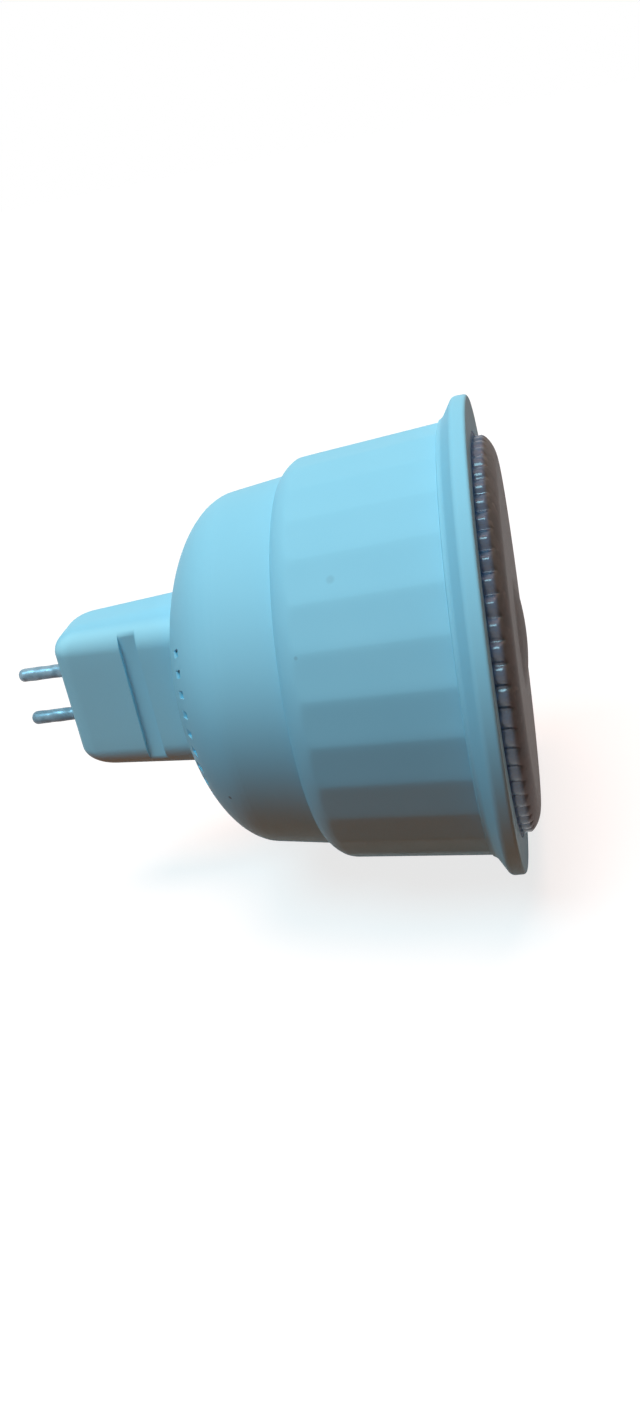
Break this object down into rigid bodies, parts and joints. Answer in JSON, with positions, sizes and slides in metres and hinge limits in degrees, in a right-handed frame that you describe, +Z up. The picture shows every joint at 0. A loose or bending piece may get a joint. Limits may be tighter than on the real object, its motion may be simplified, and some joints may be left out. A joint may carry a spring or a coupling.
{
  "type": "spotlight bulb",
  "caption": "Spotlight bulb with a faceted, wide-rimmed front shell, a smooth bowl behind it, a block base with contact pins and a clear ribbed lens.",
  "frame": {"origin": "centre of the base's pin face, between the contact pins", "axes": "+X along the lamp's axis towards the lens, pins towards -X and apart along Z, +Z up"},
  "size_m": [0.0562, 0.05, 0.05],
  "materials": {
    "shell_plastic": "satin",
    "lens_plastic": "clear",
    "pin_metal": "polished",
    "spreader_metal": "satin",
    "board_white": "painted",
    "chip_phosphor": "matt",
    "screw_steel": "satin",
    "board_laminate": "satin",
    "part_black": "matt",
    "can_sleeve": "satin",
    "choke_winding": "satin",
    "film_box": "satin",
    "fuse_body": "satin",
    "lead_red": "satin",
    "lead_black": "satin"
  },
  "bodies": {
    "root": {"lens": "lens_plastic", "front_shell": "shell_plastic", "rear_shell": "shell_plastic", "pin_base": "shell_plastic", "contact_pin_upper": "pin_metal", "contact_pin_lower": "pin_metal", "heat_spreader": "spreader_metal", "led_board": "board_white", "led_chips": "chip_phosphor", "board_screws": "screw_steel", "driver_board": "board_laminate", "bridge_rectifier": "part_black", "smoothing_capacitor": "can_sleeve", "choke": "choke_winding", "film_capacitor": "film_box", "fuse_resistor": "fuse_body", "driver_chip": "part_black", "output_diode": "part_black", "chip_resistors": "part_black", "led_lead_plus": "lead_red", "led_lead_minus": "lead_black"}
  },
  "joints": []
}
